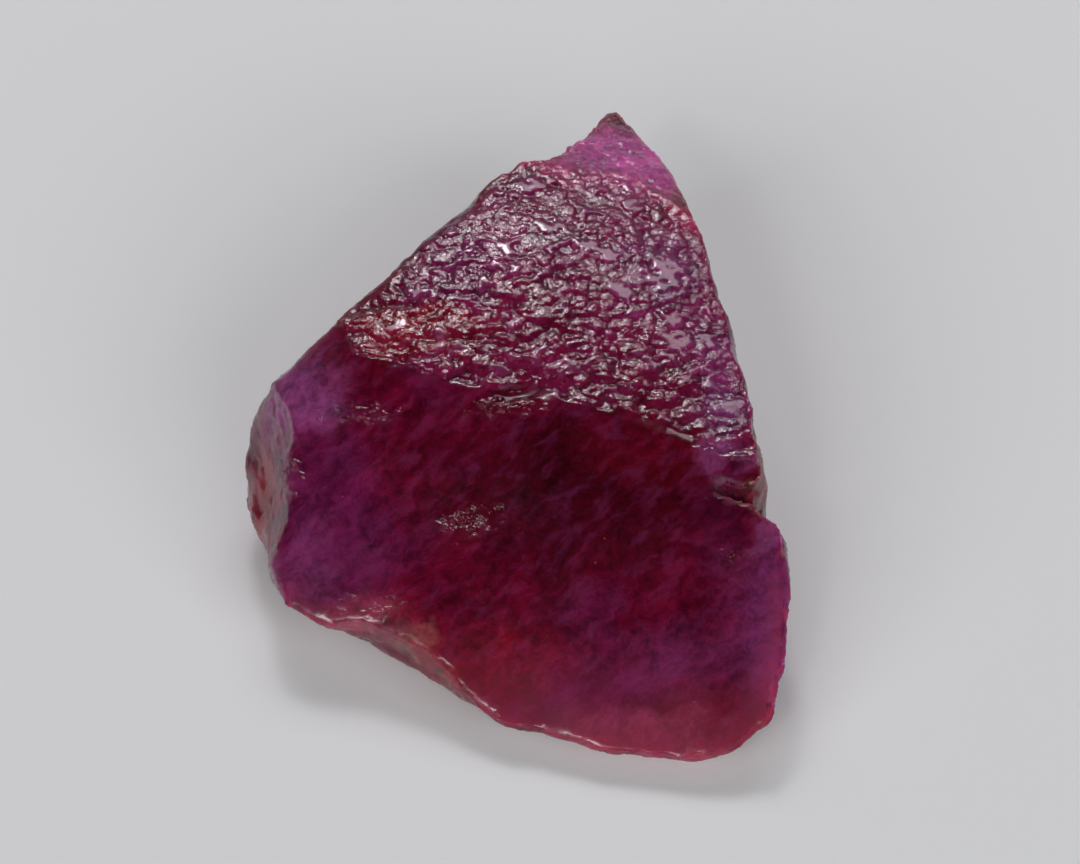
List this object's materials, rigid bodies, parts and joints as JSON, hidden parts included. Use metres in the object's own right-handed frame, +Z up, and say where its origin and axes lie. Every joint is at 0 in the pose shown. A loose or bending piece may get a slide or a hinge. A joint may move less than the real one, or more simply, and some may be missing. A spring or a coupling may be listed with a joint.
{
  "type": "raw ruby crystal",
  "caption": "Palm-sized chunk of raw ruby with an etched crown, a smooth sloping front face and broken sides, lying on a flat parting face.",
  "frame": {"origin": "under the middle of the stone's bounding box, on its flat resting face", "axes": "+Z up from the resting face, +Y from the smooth front face towards the thin tip at the back, +X to the right as seen from the front"},
  "size_m": [0.033, 0.045, 0.0139],
  "materials": {
    "ruby": "gloss"
  },
  "bodies": {
    "root": {"ruby": "ruby"}
  },
  "joints": []
}
